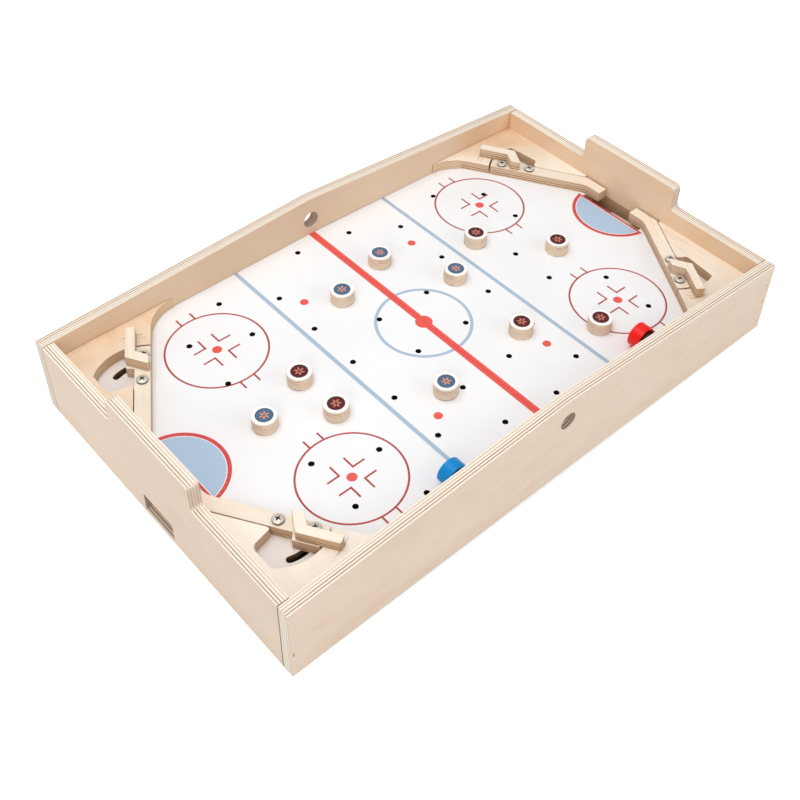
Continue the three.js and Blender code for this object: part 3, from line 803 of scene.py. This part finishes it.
def player_finish(name, centre, side, team_colour, petal_colour, turn):
    """Ply disc with a white top that carries a printed round: a ring and a six-petal rosette."""
    f = Finish(name, specular=0.4)
    x, y, z = f.place()
    _, _, nz = f.facing()
    height = board_height(x, z) - SEAT / MM
    lean = side * SLOPE
    dx = (x - centre.x / MM) * math.cos(lean) - (z - centre.z / MM) * math.sin(lean)
    dy = y - centre.y / MM
    px = dx * math.cos(turn) + dy * math.sin(turn)
    py = dy * math.cos(turn) - dx * math.sin(turn)
    radius = length(px, py)
    angle = py.calc("ARCTAN2", px)

    fibre = f.patches((px, py, height), DISC_FIBRE, 2, 0.6)
    wobble = f.noise(angle, 0.3, 0.3, 1, 0.4)
    around = angle * (PLAYER_RADIUS / MM)
    turned = abs((angle + END_GRAIN_TURN).calc("COSINE")).ramp(*END_GRAIN)
    stripes, _ = ply_edge(f, height + STRIPE_SHIFT, around, wobble, PLAYER_PLIES, PLAYER_HEIGHT / MM,
                          turned, DISC_LIGHT, DISC_DARK)
    rim = f.mix(0.2, stripes, DISC_LIGHT)
    on_top = nz.ramp(*TOP_TURN)
    base = f.mix(on_top, rim, ROUND_WHITE)

    disc = stroke(radius, 2 * ROUND_RADIUS)
    ink_ring = stroke(abs(radius - ROUND_RADIUS + RING_INK / 2), RING_INK)
    petal_reach = PETAL_MIDDLE + (angle * PETALS).calc("COSINE") * PETAL_SWELL
    petals = (radius - petal_reach).fade(-PRINT_BLUR, PRINT_BLUR)
    petal_ink = stroke(abs(radius - petal_reach), PETAL_INK)
    heart = stroke(radius, HEART_WIDTH)
    print_colour = f.mix(petals, team_colour, petal_colour)
    print_colour = f.mix(petal_ink.most(ink_ring), print_colour, ROUND_INK)
    print_colour = f.mix(heart, print_colour, team_colour)
    base = f.mix(disc * on_top, base, print_colour)
    f.bump(fibre, DISC_BUMP, 0.35)
    return f.finish(base, 0.50 - on_top * 0.12)


# Modelling helpers
def choose(*objects):
    bpy.ops.object.select_all(action="DESELECT")
    for thing in objects:
        thing.select_set(True)
    bpy.context.view_layer.objects.active = objects[0]


def edit(thing, action):
    """Goes into edit mode with all or nothing selected, as action says."""
    choose(thing)
    bpy.ops.object.mode_set(mode="EDIT")
    bpy.ops.mesh.select_all(action=action)


def leave_edit():
    bpy.ops.object.mode_set(mode="OBJECT")


def pick_faces(thing, test):
    """Selects the faces whose middle and normal pass the test; the mesh is left in edit mode."""
    edit(thing, "DESELECT")
    leave_edit()
    for face in thing.data.polygons:
        face.select = test(face.center, face.normal)
    bpy.ops.object.mode_set(mode="EDIT")
    bpy.ops.mesh.select_mode(type="FACE")


LEVEL = 0.99


def faces_up(centre, normal):
    return normal.z > LEVEL


def faces_down(centre, normal):
    return normal.z < -LEVEL


def apply_modifiers(thing):
    """Makes the modifiers part of the mesh."""
    choose(thing)
    for modifier in list(thing.modifiers):
        bpy.ops.object.modifier_apply(modifier=modifier.name)


SHADE_ANGLE = math.radians(34)


def ease_edges(thing, width, segments=2, limit=30):
    """Rounds the edges sharper than the limit, in degrees, and keeps the flat faces flat."""
    bevel = thing.modifiers.new("eased edges", "BEVEL")
    bevel.width = width
    bevel.segments = segments
    bevel.limit_method = "ANGLE"
    bevel.angle_limit = math.radians(limit)
    apply_modifiers(thing)
    choose(thing)
    bpy.ops.object.shade_smooth_by_angle(angle=SHADE_ANGLE)
    flat_faces = thing.modifiers.new("flat faces stay flat", "WEIGHTED_NORMAL")
    flat_faces.mode = "FACE_AREA"
    flat_faces.weight = 100
    flat_faces.keep_sharp = True
    apply_modifiers(thing)


def set_place(thing, matrix):
    """Puts a piece in its place and leaves its object at the origin."""
    thing.data.transform(matrix)
    thing.data.update()


def dress(thing, name, node_names, body, material):
    """Names a piece, gives it its finish, ties it to its body and hides the CAD nodes it stands for."""
    thing.name = name
    thing.data.name = name
    thing.data.materials.clear()
    thing.data.materials.append(material)
    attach(thing, body)
    if node_names:
        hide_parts(*node_names)
    return thing


SAME_PLACE = 0.002 * MM
SAME_PLANE = math.radians(0.4)


def eased_copy(node, width, material, segments=2):
    """The CAD piece with its sharp edges eased, as a sander leaves them."""
    choose(frame["nodes"][node])
    bpy.ops.object.duplicate()
    piece = bpy.context.view_layer.objects.active
    edit(piece, "SELECT")
    bpy.ops.mesh.remove_doubles(threshold=SAME_PLACE)
    bpy.ops.mesh.dissolve_limited(angle_limit=SAME_PLANE)
    leave_edit()
    ease_edges(piece, width, segments)
    return dress(piece, f"{node}_piece", [node], body_of[node], material)


def corner_point(side, row, along, out, height):
    """A place near a corner: along the flipper from its pivot, out towards the corner, over the ice."""
    u = PIVOT_FROM_END + math.cos(FLIPPER_ANGLE) * along - math.sin(FLIPPER_ANGLE) * out
    v = PIVOT_FROM_MIDDLE + math.sin(FLIPPER_ANGLE) * along + math.cos(FLIPPER_ANGLE) * out
    run = CLEAR_HALF_LENGTH / math.cos(SLOPE)
    return half_matrix(side) @ Vector((side * (run - u), row * v, height))


def half_matrix(side):
    """From the plane of one half of the ice, measured from mid-length, to the box."""
    return Matrix.Translation((0, 0, ICE_MIDDLE)) @ Matrix.Rotation(side * SLOPE, 4, "Y")


# Finishes
PALE = (PALE_LIGHT, PALE_MID, PALE_DEEP)
# Darker, warmer tones that paint warm shade on the return floors inside the ball return
RETURN_WARM_SHADE = (PALE_DEEP, BROWN_LIGHT, WARM_BIRCH)
# Paler tones that paint light on the goal sills, which sit in shade
SILL_PAINTED_LIGHT = (PALE_FAIR, PALE_LIGHT, PALE_MID)
BROWN_EDGE = (BROWN_LIGHT, BROWN_DARK)
SHEET = PLATE_PLY / MM
ACROSS_BOX = math.radians(90)
FLIPPER_SEED = 13
HANDLE_SEED = 29
long_wall_ply = plywood("birch ply long walls", lie_long_wall, PLY / MM, PLIES, wall_marks, figure=0.5)
end_wall_ply = plywood("birch ply end walls", lie_end_wall, PLY / MM, PLIES, end_marks, figure=0.5)
plate_ply = plywood("birch ply corner plates", lie_on_ice(SEAT, ACROSS_BOX),
                    SHEET, PLIES, plate_marks, PALE, 1.0, BROWN_EDGE)
flipper_ply = plywood("birch ply flippers", lie_on_ice(SEAT, FLIPPER_ANGLE, FLIPPER_SEED),
                      SHEET, PLIES, None, PALE, 0.7, BROWN_EDGE)
handle_ply = plywood("birch ply handles", lie_on_ice(HANDLE_BOTTOM, FLIPPER_ANGLE, HANDLE_SEED),
                     SHEET, PLIES, None, PALE, 0.7, BROWN_EDGE)
back_ply = plywood("birch ply return backs", lie_upright_y(CLEAR_HALF_LENGTH - RETURN_BACK_FROM_END),
                   SHEET, PLIES)
cheek_ply = plywood("birch ply return cheeks", lie_upright_x(GOAL_HALF_WIDTH), SHEET, PLIES)
# The return floors' warmer tones are painted shade
floor_ply = plywood("birch ply return floors", lie_flat_strip, RETURN_FLOOR_DEPTH / MM, PLIES, None, RETURN_WARM_SHADE)
# The sills' paler tones are painted light
sill_ply = plywood("birch ply goal sills", lie_upright_y(CLEAR_HALF_LENGTH - SILL_FROM_END),
                   SHEET, PLIES, None, SILL_PAINTED_LIGHT)
under_wood = softwood("planed softwood", PINE_LIGHT, PINE_DARK)
# The dowels are dark as painted shade inside the caps
dowel_wood = softwood("dark softwood painted as shade", DOWEL_SHADE_LIGHT, DOWEL_SHADE_DARK)
ice_print = printed_ice()
steel = plated_steel()
red_plastic = moulded_plastic("red moulded plastic", CAP_RED)
blue_plastic = moulded_plastic("blue moulded plastic", CAP_BLUE)

# Box, ice and plates, each with the width that its edges are eased by
WALL_EASE = 0.7 * MM
SOFTWOOD_EASE = 0.8 * MM
ICE_EASE = 0.2 * MM
STRIP_EASE = 0.5 * MM
THIN_EASE = 0.4 * MM
PLATE_EASE = 0.45 * MM
FLIPPER_EASE = 0.6 * MM
HANDLE_EASE = 0.9 * MM
for row in ROWS:
    eased_copy(f"{row}_side_wall", WALL_EASE, long_wall_ply)
    eased_copy(f"{row}_cleat", SOFTWOOD_EASE, under_wood)
eased_copy("ridge_beam", SOFTWOOD_EASE, under_wood)
for side in SIDES:
    eased_copy(f"{side}_end_wall", WALL_EASE, end_wall_ply)
    eased_copy(f"{side}_ice_board", ICE_EASE, ice_print, segments=1)
    eased_copy(f"{side}_goal_sill", STRIP_EASE, sill_ply)
    eased_copy(f"{side}_return_floor", THIN_EASE, floor_ply)
    eased_copy(f"{side}_return_back", STRIP_EASE, back_ply)
    eased_copy(f"{side}_pivot_rail", SOFTWOOD_EASE, under_wood)
    for row in ROWS:
        eased_copy(f"{side}_{row}_return_cheek", STRIP_EASE, cheek_ply)
for corner, _, _ in CORNERS:
    eased_copy(f"{corner}_corner_plate", PLATE_EASE, plate_ply)
    eased_copy(f"{corner}_flipper", FLIPPER_EASE, flipper_ply)
    eased_copy(f"{corner}_handle", HANDLE_EASE, handle_ply, segments=3)
    eased_copy(f"{corner}_guide_nut", THIN_EASE, steel)

# Screws
HEAD_RADIUS = 5.8 * MM
HEAD_HEIGHT = 3 * MM
SHANK_RADIUS = 2.2 * MM
CROSS_REACH = 3.8 * MM
CROSS_WIDTH = 1.6 * MM
CROSS_DEPTH = 1.7 * MM
HEAD_SIDE = HEAD_HEIGHT * 0.42
CROWN_RISE = HEAD_HEIGHT * 0.58
CROWN_STEPS = 6
CROWN_REACH = 0.86
POINT_INSET = 0.5 * MM
POINT_DEPTH = 0.6 * MM
CROSS_LENGTH_TAPER = 0.45
CROSS_WIDTH_TAPER = 0.7
RECESS_REACH = CROSS_REACH * 1.02
RECESS_FLOOR = HEAD_HEIGHT - CROSS_DEPTH
NEAR_FLOOR = 0.2 * MM
STEEP = 0.6
METAL_EASE = 0.12 * MM


def pan_screw(shank_length):
    """A pan head with a cross recess; the underside of the head is at z = 0."""
    bpy.ops.mesh.primitive_cylinder_add(vertices=40, radius=HEAD_RADIUS, depth=HEAD_SIDE,
                                        location=(0, 0, HEAD_SIDE / 2))
    screw = bpy.context.active_object
    for step in range(CROWN_STEPS):
        pick_faces(screw, faces_up)
        now = step / CROWN_STEPS * math.pi / 2
        then = (step + 1) / CROWN_STEPS * math.pi / 2
        narrower = HEAD_RADIUS * (math.cos(now * CROWN_REACH) - math.cos(then * CROWN_REACH))
        bpy.ops.mesh.inset(thickness=narrower, depth=0)
        rise = CROWN_RISE * (math.sin(then) - math.sin(now))
        bpy.ops.transform.translate(value=(0, 0, rise))
        leave_edit()
    pick_faces(screw, faces_down)
    bpy.ops.mesh.inset(thickness=HEAD_RADIUS - SHANK_RADIUS, depth=0)
    bpy.ops.mesh.extrude_region_move(TRANSFORM_OT_translate={"value": (0, 0, -shank_length)})
    bpy.ops.mesh.inset(thickness=POINT_INSET, depth=POINT_DEPTH)
    leave_edit()
    for turned in (False, True):
        length_and_width = (CROSS_REACH * 2, CROSS_WIDTH)
        tapers = (CROSS_LENGTH_TAPER, CROSS_WIDTH_TAPER)
        if turned:
            length_and_width = length_and_width[::-1]
            tapers = tapers[::-1]
        bpy.ops.mesh.primitive_cube_add(size=1, location=(0, 0, HEAD_HEIGHT))
        bar = bpy.context.active_object
        set_place(bar, Matrix.Diagonal((*length_and_width, CROSS_DEPTH * 2, 1)))
        pick_faces(bar, faces_down)
        bpy.ops.transform.resize(value=(*tapers, 1))
        leave_edit()
        recess = screw.modifiers.new("cross recess", "BOOLEAN")
        recess.operation = "DIFFERENCE"
        recess.solver = "EXACT"
        recess.object = bar
        apply_modifiers(screw)
        bpy.data.objects.remove(bar)
    ease_edges(screw, METAL_EASE, limit=40)
    recess = screw.data.attributes.new("recess", "FLOAT", "FACE")
    for face, mark in zip(screw.data.polygons, recess.data):
        inside = math.hypot(face.center.x, face.center.y) < RECESS_REACH
        steep_or_low = abs(face.normal.z) < STEEP or face.center.z < RECESS_FLOOR + NEAR_FLOOR
        mark.value = float(inside and steep_or_low and face.center.z > RECESS_FLOOR / 2)
    return screw


def copy_piece(model):
    """A copy with a mesh of its own."""
    choose(model)
    bpy.ops.object.duplicate()
    return bpy.context.view_layer.objects.active


PIVOT_SHANK = 32 * MM
GUIDE_SHANK = 25.2 * MM
SCREW_TURNS = [0.35, 0.9, 0.15, 1.2, 0.6, 0.05, 1.05, 0.75]
GUIDE_ALONG = 33 * MM
GUIDE_OUT = -1 * MM
pivot_model = pan_screw(PIVOT_SHANK)
guide_model = pan_screw(GUIDE_SHANK)
SCREWS = (("pivot", pivot_model, 0, 0), ("guide", guide_model, GUIDE_ALONG, GUIDE_OUT))
for index, (corner, side, row) in enumerate(CORNERS):
    for step, (kind, model, along, out) in enumerate(SCREWS):
        node = f"{corner}_{kind}_screw"
        screw = copy_piece(model)
        turn = SCREW_TURNS[index * 2 + step]
        centre = corner_point(side, row, along, out, HANDLE_BOTTOM)
        lean = Matrix.Rotation(side * SLOPE, 4, "Y")
        set_place(screw, Matrix.Translation(centre) @ lean @ Matrix.Rotation(turn, 4, "Z"))
        dress(screw, f"{node}_piece", [node], body_of[node], steel)
bpy.data.objects.remove(pivot_model)
bpy.data.objects.remove(guide_model)


# Players
DISC_RIM = 2.1 * MM
ROUND_STEP = 0.25 * MM
DISC_EASE = 0.75 * MM


def player_model():
    """A disc whose white round is let in by a small step, standing on z = 0."""
    bpy.ops.mesh.primitive_cylinder_add(vertices=72, radius=PLAYER_RADIUS, depth=PLAYER_HEIGHT,
                                        location=(0, 0, PLAYER_HEIGHT / 2))
    disc = bpy.context.active_object
    pick_faces(disc, faces_up)
    bpy.ops.mesh.inset(thickness=DISC_RIM, depth=0)
    bpy.ops.mesh.inset(thickness=ROUND_STEP, depth=-ROUND_STEP)
    leave_edit()
    ease_edges(disc, DISC_EASE, segments=3, limit=60)
    return disc


PLAYER_TURNS = [0.3, 1.9, 4.0, 2.6, 5.1, 0.9, 3.3, 1.2, 4.6, 2.2, 5.7]
disc_model = player_model()
players = sorted(node for node in frame["nodes"] if "_player_" in node)
for index, node in enumerate(players):
    low, high = [Vector(corner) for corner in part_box(node)]
    middle = (low + high) / 2
    side = 1 if middle.x > 0 else -1
    normal = Vector((side * math.sin(SLOPE), 0, math.cos(SLOPE)))
    base = middle - normal * (PLAYER_HEIGHT / 2)
    disc = copy_piece(disc_model)
    set_place(disc, Matrix.Translation(base) @ Matrix.Rotation(side * SLOPE, 4, "Y"))
    team, petal = (ROUND_MAROON, ROUND_RUSSET) if node.startswith("red") else (ROUND_BLUE, ROUND_PEACH)
    look = player_finish(f"{node} ply and print", base, side, team, petal, PLAYER_TURNS[index])
    dress(disc, f"{node}_disc", [node], body_of[node], look)
bpy.data.objects.remove(disc_model)

# Caps and their dowels
CAP_RADIUS = 13 * MM
CAP_LENGTH = 13.5 * MM
CAP_WALL = 2 * MM
CAP_FACE_RIM = 1.7 * MM
CAP_EASE = 0.9 * MM
DOWEL_EASE = 0.6 * MM


def cap_model():
    """A hollow cap lying along Y, closed at +Y; its middle is at the origin."""
    bpy.ops.mesh.primitive_cylinder_add(vertices=64, radius=CAP_RADIUS, depth=CAP_LENGTH)
    cap = bpy.context.active_object
    pick_faces(cap, faces_down)
    bpy.ops.mesh.inset(thickness=CAP_WALL, depth=0)
    bpy.ops.mesh.extrude_region_move(TRANSFORM_OT_translate={"value": (0, 0, CAP_LENGTH - CAP_WALL)})
    leave_edit()
    pick_faces(cap, faces_up)
    bpy.ops.mesh.inset(thickness=CAP_FACE_RIM, depth=0)
    leave_edit()
    ease_edges(cap, CAP_EASE, segments=4, limit=50)
    set_place(cap, Matrix.Rotation(-math.pi / 2, 4, "X"))
    return cap


cap = cap_model()
for team, plastic in (("red", red_plastic), ("blue", blue_plastic)):
    node = f"{team}_cap"
    low, high = [Vector(corner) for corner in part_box(node)]
    piece = copy_piece(cap)
    set_place(piece, Matrix.Translation((low + high) / 2))
    dress(piece, f"{node}_piece", [node], body_of[node], plastic)
    eased_copy(f"{team}_cap_dowel", DOWEL_EASE, dowel_wood)
bpy.data.objects.remove(cap)

# Nail heads at the right-hand ends of the long walls, dark and just proud of the wood
NAIL_X = 313.75 * MM
NAIL_HEIGHTS = [12 * MM, 41 * MM, 64 * MM]
NAIL_RADIUS = 1 * MM
NAIL_HEAD = 0.6 * MM
NAIL_IN_WALL = 0.22 * MM
bpy.ops.mesh.primitive_cylinder_add(vertices=20, radius=NAIL_RADIUS, depth=NAIL_HEAD)
nail_model = bpy.context.active_object
ease_edges(nail_model, METAL_EASE, limit=40)
for row_name, row in ROWS.items():
    for count, height in enumerate(NAIL_HEIGHTS):
        nail = copy_piece(nail_model)
        centre = (NAIL_X, row * (HALF_WIDTH - NAIL_IN_WALL), height)
        set_place(nail, Matrix.Translation(centre) @ Matrix.Rotation(math.pi / 2, 4, "X"))
        dress(nail, f"right_{row_name}_nail_{count + 1}", [], "box", steel)
bpy.data.objects.remove(nail_model)

# Floor: white to the camera outside the box's foot, grey to everything else
FLOOR_WIDTH = 8
FLOOR_GAP = 0.2 * MM
FLOOR_GREY = (0.72, 0.72, 0.72, 1)
FLOOR_ROUGHNESS = 0.9
WHITE = (1, 1, 1, 1)
NEAR_LIFT = 0.25
FAR_LIFT = 0.75
LIFT_FROM = 700
LIFT_TO = 1900
FOOT_INSET = 2
bpy.ops.mesh.primitive_plane_add(size=FLOOR_WIDTH, location=(0, 0, -FLOOR_GAP))
floor = bpy.context.active_object
floor.name = "floor"
floor_finish = Finish("pale floor", specular=0)
path = floor_finish.node("ShaderNodeLightPath")
glossy = Value(floor_finish, path.outputs["Is Glossy Ray"])
seen = Value(floor_finish, path.outputs["Is Camera Ray"]).most(glossy)
floor_finish.finish(floor_finish.mix(seen, FLOOR_GREY, WHITE), FLOOR_ROUGHNESS)
floor_x, floor_y, _ = floor_finish.place()
outside = abs(floor_x).over(OUTER_X - FOOT_INSET).most(abs(floor_y).over(OUTER_Y - FOOT_INSET))
far = length(floor_x, floor_y).ramp(LIFT_FROM, LIFT_TO)
lift = floor_finish.node("ShaderNodeEmission", inputs={
    "Color": WHITE, "Strength": seen * outside * (NEAR_LIFT + far * FAR_LIFT),
})
both = floor_finish.node("ShaderNodeAddShader", inputs={
    0: floor_finish.shader.outputs[0], 1: lift.outputs[0],
})
output = floor_finish.tree.nodes["Material Output"]
floor_finish.feed(output.inputs["Surface"], both.outputs[0])
floor.data.materials.append(floor_finish.material)

# Light: white to the camera, half as strong on the object
SKY_LEVEL = 0.50
world = bpy.data.worlds.new("studio")
bpy.context.scene.world = world
world.use_nodes = True
sky = Nodes(world.node_tree)
background = sky.tree.nodes["Background"]
background.inputs["Color"].default_value = WHITE
sky_path = sky.node("ShaderNodeLightPath")
sky_level = sky.node("ShaderNodeMapRange", inputs={
    "Value": sky_path.outputs["Is Camera Ray"], "To Min": SKY_LEVEL, "To Max": 1,
})
sky.feed(background.inputs["Strength"], sky_level.outputs[0])


def soft_light(name, place, target, width, height, watts):
    """A rectangular lamp that looks at the target."""
    data = bpy.data.lights.new(name, "AREA")
    data.shape = "RECTANGLE"
    data.size = width
    data.size_y = height
    data.energy = watts
    lamp = bpy.data.objects.new(name, data)
    bpy.context.scene.collection.objects.link(lamp)
    lamp.location = place
    lamp.rotation_euler = (Vector(target) - Vector(place)).to_track_quat("-Z", "Y").to_euler()


TABLE = (0, 0, 0)
GAME = (0, 0, 0.05)
soft_light("overhead softbox", (-0.35, 0.10, 2.0), TABLE, width=1.5, height=1.2, watts=19.2)
soft_light("left fill", (-1.9, -1.2, 1.2), GAME, width=1.6, height=1.4, watts=15)
soft_light("front fill", (0.9, -2.0, 1.1), GAME, width=1.6, height=1.4, watts=12)

# Camera, in metres and radians
CAMERA_PLACE = (-0.58159, -0.61500, 0.87241)
VIEW_TURN = -0.7733
VIEW_LIFT = 0.7434
VIEW_ROLL = 0.0486
LENS = 51.79
SHIFT_X = -0.04776
SHIFT_Y = -0.12768
camera_data = bpy.data.cameras.new("camera")
camera_data.sensor_width = 36
camera_data.lens = LENS
camera_data.shift_x = SHIFT_X
camera_data.shift_y = SHIFT_Y
camera = bpy.data.objects.new("camera", camera_data)
bpy.context.scene.collection.objects.link(camera)
back = Vector((math.sin(VIEW_TURN) * math.cos(VIEW_LIFT), -math.cos(VIEW_TURN) * math.cos(VIEW_LIFT),
               math.sin(VIEW_LIFT)))
flat_right = Vector((math.cos(VIEW_TURN), math.sin(VIEW_TURN), 0))
flat_up = back.cross(flat_right)
right = flat_right * math.cos(VIEW_ROLL) + flat_up * math.sin(VIEW_ROLL)
up = flat_up * math.cos(VIEW_ROLL) - flat_right * math.sin(VIEW_ROLL)
facing = Matrix((right, up, back)).transposed().to_4x4()
camera.matrix_world = Matrix.Translation(CAMERA_PLACE) @ facing
bpy.context.scene.camera = camera

bpy.context.scene.view_settings.view_transform = "Standard"
